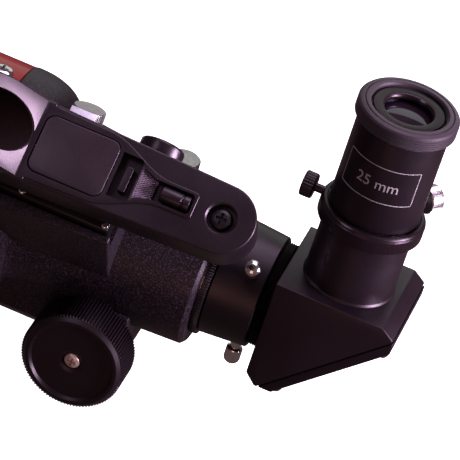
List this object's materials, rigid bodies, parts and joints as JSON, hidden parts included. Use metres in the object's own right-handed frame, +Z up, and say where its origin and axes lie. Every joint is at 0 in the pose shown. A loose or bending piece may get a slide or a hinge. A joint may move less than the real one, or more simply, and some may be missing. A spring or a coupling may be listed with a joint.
{
  "type": "refractor telescope",
  "caption": "Short red refractor telescope tube with rack focuser, right-angle diagonal, eyepiece, red-dot finder and ring mounts on a dovetail bar.",
  "frame": {"origin": "centre of the dovetail bar's bottom face", "axes": "+X along the optical axis to the eyepiece end, +Z up, -Y to the side of the near focus knob"},
  "size_m": [0.4246, 0.146, 0.1716],
  "materials": {
    "red_gloss": "gloss",
    "black_paint": "satin",
    "black_anodised": "anodised, satin",
    "black_moulding": "fine sand texture",
    "black_satin": "satin",
    "black_gloss": "gloss",
    "rubber": "matt",
    "chrome": "polished",
    "silver": "turned, satin",
    "brass": "machined",
    "glass": "polished",
    "coated_glass": "red mirror coating",
    "white_plastic": "smooth film"
  },
  "bodies": {
    "tube": {"main_tube": "red_gloss", "dew_shield": "black_paint", "lens_cell": "black_paint", "crown_lens": "glass", "flint_lens": "glass", "lens_retaining_ring": "black_paint", "tube_baffle": "black_paint", "focuser_housing": "black_moulding", "tube_screw_top": "chrome", "tube_screw_near": "chrome", "tube_screw_far": "chrome", "ring_lower_front": "black_paint", "ring_lower_rear": "black_paint", "ring_hinge_pin_front": "silver", "ring_hinge_pin_rear": "silver", "dovetail_bar": "black_anodised", "dovetail_bolt_front": "silver", "dovetail_bolt_rear": "silver", "finder_foot": "black_gloss"},
    "ring_upper_front": {"ring_upper_front": "black_paint"},
    "ring_upper_rear": {"ring_upper_rear": "black_paint"},
    "ring_knob_front": {"ring_knob_front": "black_satin"},
    "ring_knob_rear": {"ring_knob_rear": "black_satin"},
    "drawtube": {"drawtube": "chrome", "drawtube_rack": "brass", "drawtube_ring": "black_satin", "eyepiece_adapter": "black_gloss"},
    "pinion": {"pinion_shaft": "silver", "focus_knob_near": "black_satin", "focus_knob_far": "black_satin", "knob_screw_near": "chrome", "knob_screw_far": "chrome"},
    "focus_lock": {"focus_lock_screw": "silver"},
    "adapter_screw_near": {"adapter_screw_near": "chrome"},
    "adapter_screw_under": {"adapter_screw_under": "chrome"},
    "diagonal": {"diagonal_nosepiece": "chrome", "diagonal_housing": "black_satin", "diagonal_prism": "glass", "diagonal_cover": "black_satin", "eyepiece_socket": "black_satin"},
    "socket_screw_black": {"socket_screw_black": "black_satin"},
    "socket_screw_silver": {"socket_screw_silver": "silver"},
    "eyepiece": {"eyepiece_barrel": "chrome", "eyepiece_body": "black_satin", "eye_cup": "rubber", "eye_lens": "glass", "eye_lens_ring": "black_satin", "field_lens": "glass"},
    "clamp_screw": {"finder_clamp_screw": "silver"},
    "finder_bracket": {"finder_bracket": "black_satin"},
    "elevation_wheel": {"elevation_wheel": "black_satin"},
    "azimuth_screw": {"azimuth_screw": "black_satin"},
    "finder": {"finder_body": "black_satin", "finder_lens": "coated_glass", "coin_cell": "silver", "emitter_holder": "black_gloss", "finder_pivot_screw": "black_gloss"},
    "brightness_knob": {"brightness_knob": "black_gloss"},
    "battery_cover": {"battery_cover": "black_satin"},
    "battery_tab": {"battery_tab": "white_plastic"}
  },
  "joints": [
    {"name": "drawtube_slide", "type": "slide", "parent": "tube", "child": "drawtube", "axis": [1, 0, 0], "range_m": [0, 0.06]},
    {"name": "pinion_turn", "type": "hinge", "parent": "tube", "child": "pinion", "pos_m": [0.1556, 0, 0.037], "axis": [0, 1, 0], "range_deg": [-5, 620]},
    {"name": "focus_lock_turn", "type": "hinge", "parent": "tube", "child": "focus_lock", "pos_m": [0.1662, 0, 0.11], "axis": [0, 0, 1], "range_deg": [0, 720]},
    {"name": "adapter_screw_near_turn", "type": "hinge", "parent": "drawtube", "child": "adapter_screw_near", "pos_m": [0.207, -0.02121, 0.09121], "axis": [0, -0.7071, 0.7071], "range_deg": [0, 720]},
    {"name": "adapter_screw_under_turn", "type": "hinge", "parent": "drawtube", "child": "adapter_screw_under", "pos_m": [0.207, 0, 0.04], "axis": [0, 0, -1], "range_deg": [0, 720]},
    {"name": "diagonal_turn", "type": "hinge", "parent": "drawtube", "child": "diagonal", "pos_m": [0.2169, 0, 0.07], "axis": [1, 0, 0], "continuous": true},
    {"name": "eyepiece_lift", "type": "slide", "parent": "diagonal", "child": "eyepiece", "axis": [0, 0, 1], "range_m": [0, 0.04]},
    {"name": "socket_screw_black_turn", "type": "hinge", "parent": "diagonal", "child": "socket_screw_black", "pos_m": [0.2148, 0, 0.1229], "axis": [-1, 0, 0], "range_deg": [0, 720]},
    {"name": "socket_screw_silver_turn", "type": "hinge", "parent": "diagonal", "child": "socket_screw_silver", "pos_m": [0.2545, 0.02022, 0.1229], "axis": [0.5878, 0.809, 0], "range_deg": [0, 720]},
    {"name": "clamp_screw_turn", "type": "hinge", "parent": "tube", "child": "clamp_screw", "pos_m": [0.1303, -0.02429, 0.13261], "axis": [0, 0.279, 0.9603], "range_deg": [0, 720]},
    {"name": "finder_elevation", "type": "hinge", "parent": "tube", "child": "finder_bracket", "pos_m": [0.132, -0.04637, 0.11836], "axis": [0, 0.7218, 0.6921], "range_deg": [-2, 2]},
    {"name": "elevation_wheel_turn", "type": "hinge", "parent": "finder_bracket", "child": "elevation_wheel", "pos_m": [0.162, -0.04637, 0.11836], "axis": [0, -0.6921, 0.7218], "range_deg": [-545, 545]},
    {"name": "finder_azimuth", "type": "hinge", "parent": "finder_bracket", "child": "finder", "pos_m": [0.1955, -0.05537, 0.12774], "axis": [0, -0.6921, 0.7218], "range_deg": [-2.5, 2.5]},
    {"name": "azimuth_screw_turn", "type": "hinge", "parent": "finder_bracket", "child": "azimuth_screw", "pos_m": [0.174, -0.03785, 0.12681], "axis": [0, 0.7218, 0.6921], "range_deg": [-490, 490]},
    {"name": "brightness_turn", "type": "hinge", "parent": "finder", "child": "brightness_knob", "pos_m": [0.164, -0.04521, 0.14026], "axis": [0, 0.7218, 0.6921], "range_deg": [0, 270]},
    {"name": "battery_cover_lift", "type": "slide", "parent": "finder", "child": "battery_cover", "axis": [0, -0.6921, 0.7218], "range_m": [0, 0.015]},
    {"name": "battery_tab_pull", "type": "slide", "parent": "finder", "child": "battery_tab", "axis": [0, 0.7218, 0.6921], "range_m": [0, 0.019]},
    {"name": "ring_front_open", "type": "hinge", "parent": "tube", "child": "ring_upper_front", "pos_m": [-0.05, 0.055, 0.07], "axis": [-1, 0, 0], "range_deg": [0, 110]},
    {"name": "ring_knob_front_turn", "type": "hinge", "parent": "ring_upper_front", "child": "ring_knob_front", "pos_m": [-0.05, -0.061, 0.08], "axis": [0, 0, 1], "range_deg": [0, 1080]},
    {"name": "ring_rear_open", "type": "hinge", "parent": "tube", "child": "ring_upper_rear", "pos_m": [0.05, 0.055, 0.07], "axis": [-1, 0, 0], "range_deg": [0, 110]},
    {"name": "ring_knob_rear_turn", "type": "hinge", "parent": "ring_upper_rear", "child": "ring_knob_rear", "pos_m": [0.05, -0.061, 0.08], "axis": [0, 0, 1], "range_deg": [0, 1080]}
  ],
  "couplings": [
    {"joint": "pinion_turn", "follows": "drawtube_slide", "rad_per_m": 178.57},
    {"joint": "elevation_wheel_turn", "follows": "finder_elevation", "ratio": 269.28},
    {"joint": "azimuth_screw_turn", "follows": "finder_azimuth", "ratio": 192.98}
  ]
}
